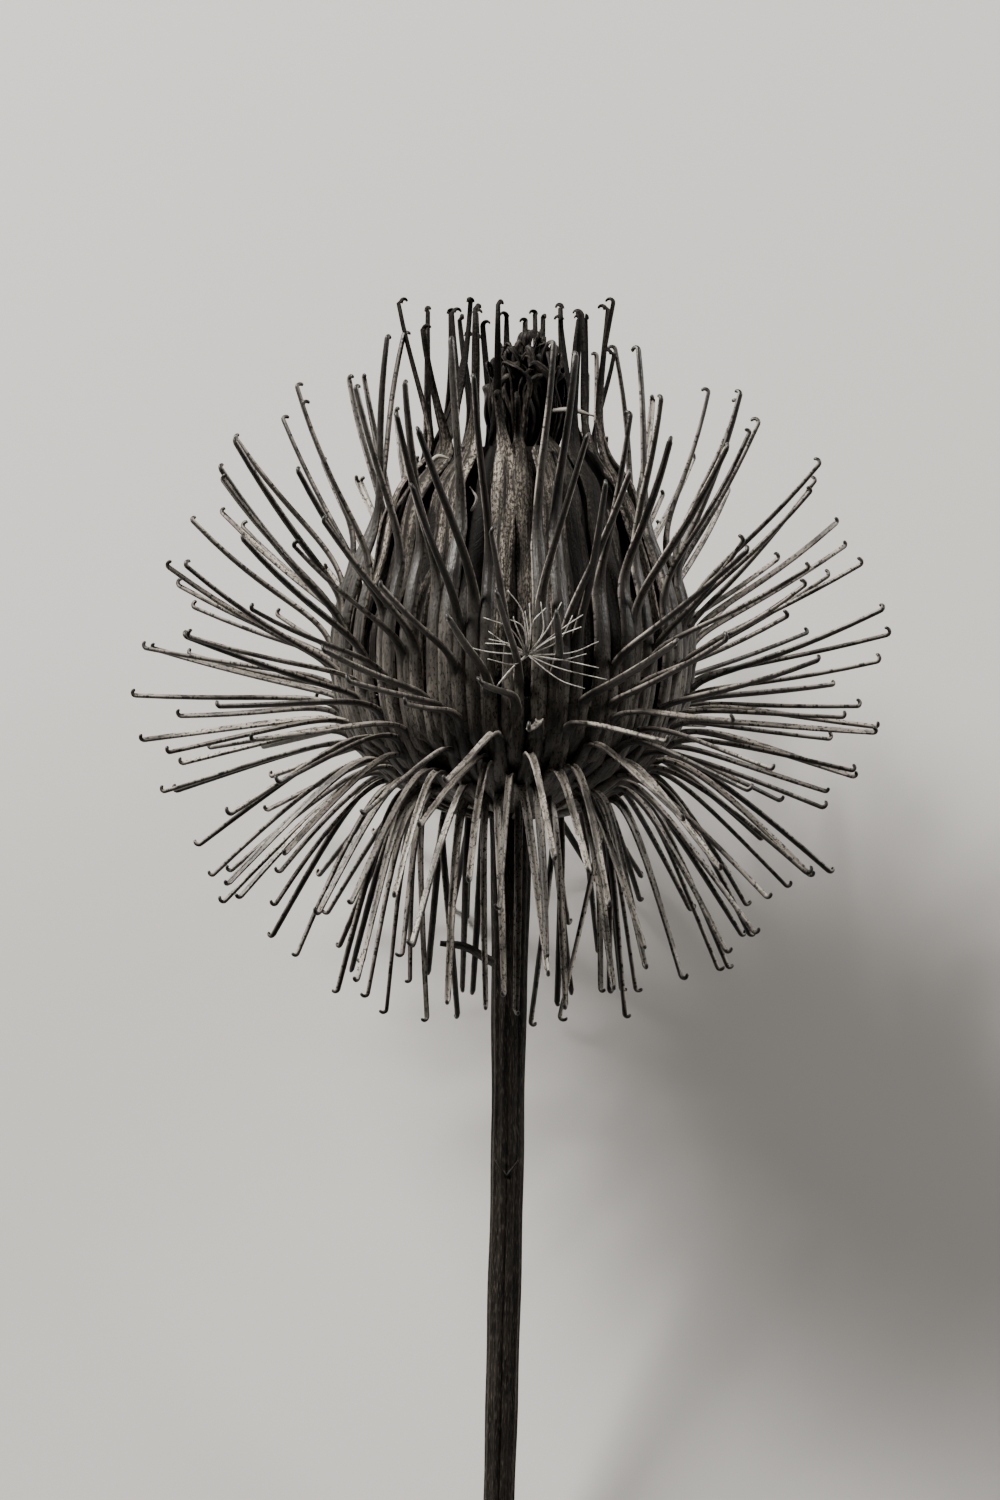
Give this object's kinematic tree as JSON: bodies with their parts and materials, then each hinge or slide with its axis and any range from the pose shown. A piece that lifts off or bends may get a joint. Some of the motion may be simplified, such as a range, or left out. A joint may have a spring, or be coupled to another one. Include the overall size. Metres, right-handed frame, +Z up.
{
  "type": "dried burdock bur on its cut stalk",
  "caption": "Dried burdock bur: a round head of stiff hooked bracts over a cup of broad papery inner bracts, with withered florets in its mouth, on a short length of cut stalk.",
  "frame": {"origin": "on the table under the middle of the object's bounding box, as it lies on its side", "axes": "+Y along the stalk towards the top of the head, seen from above; +Z up; the table is z = 0"},
  "size_m": [0.0444, 0.0776, 0.0414],
  "materials": {
    "stalk": "dry, grooved plant stem",
    "outer_bracts": "dry, stiff, slightly shiny bracts with dark specks",
    "inner_bracts": "dry, papery, finely veined bracts",
    "florets": "withered, matt florets"
  },
  "bodies": {
    "root": {"stalk": "stalk", "outer_bracts": "outer_bracts", "inner_bracts": "inner_bracts", "floret_tuft": "florets"}
  },
  "joints": []
}
